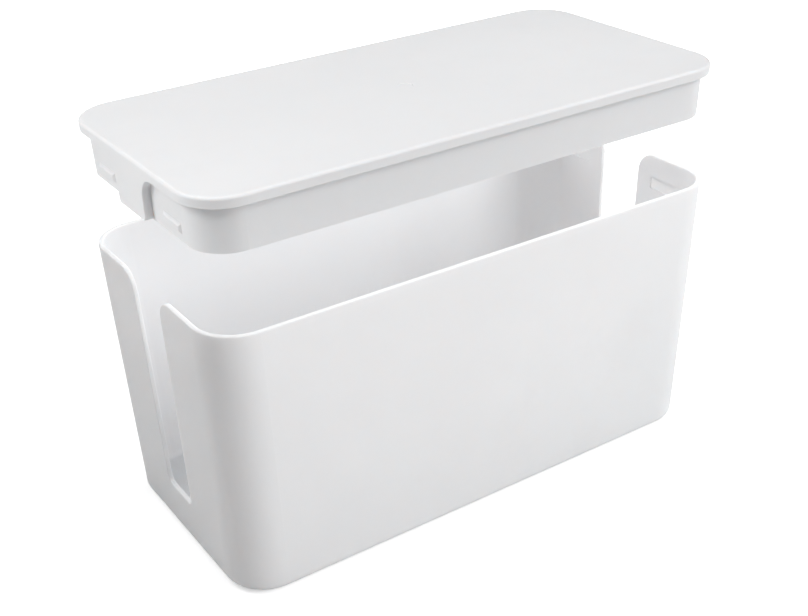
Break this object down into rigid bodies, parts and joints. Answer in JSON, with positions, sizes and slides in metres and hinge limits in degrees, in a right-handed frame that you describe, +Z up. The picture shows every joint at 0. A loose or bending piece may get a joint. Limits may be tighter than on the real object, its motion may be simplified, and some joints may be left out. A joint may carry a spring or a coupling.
{
  "type": "cable management box",
  "caption": "White plastic box with a lift-off lid and an open slot in each end wall, for hiding a power strip and its cables.",
  "frame": {"origin": "on the table under the centre of the tub, at the underside of the feet", "axes": "+X along the length, +Y from the front long wall to the back one, +Z up"},
  "size_m": [0.2356, 0.1156, 0.1673],
  "materials": {
    "tub_plastic": "satin white, as moulded",
    "lid_plastic": "satin white, as moulded, very fine texture on top",
    "foot_rubber": "matt grey anti-slip rubber"
  },
  "bodies": {
    "tub": {"tub": "tub_plastic", "foot_front_left": "foot_rubber", "foot_front_right": "foot_rubber", "foot_back_left": "foot_rubber", "foot_back_right": "foot_rubber"},
    "lid": {"lid": "lid_plastic"}
  },
  "joints": [
    {"name": "lid_lift", "type": "slide", "parent": "tub", "child": "lid", "axis": [0, 0, 1], "range_m": [-0.0468, 0.0532]}
  ]
}
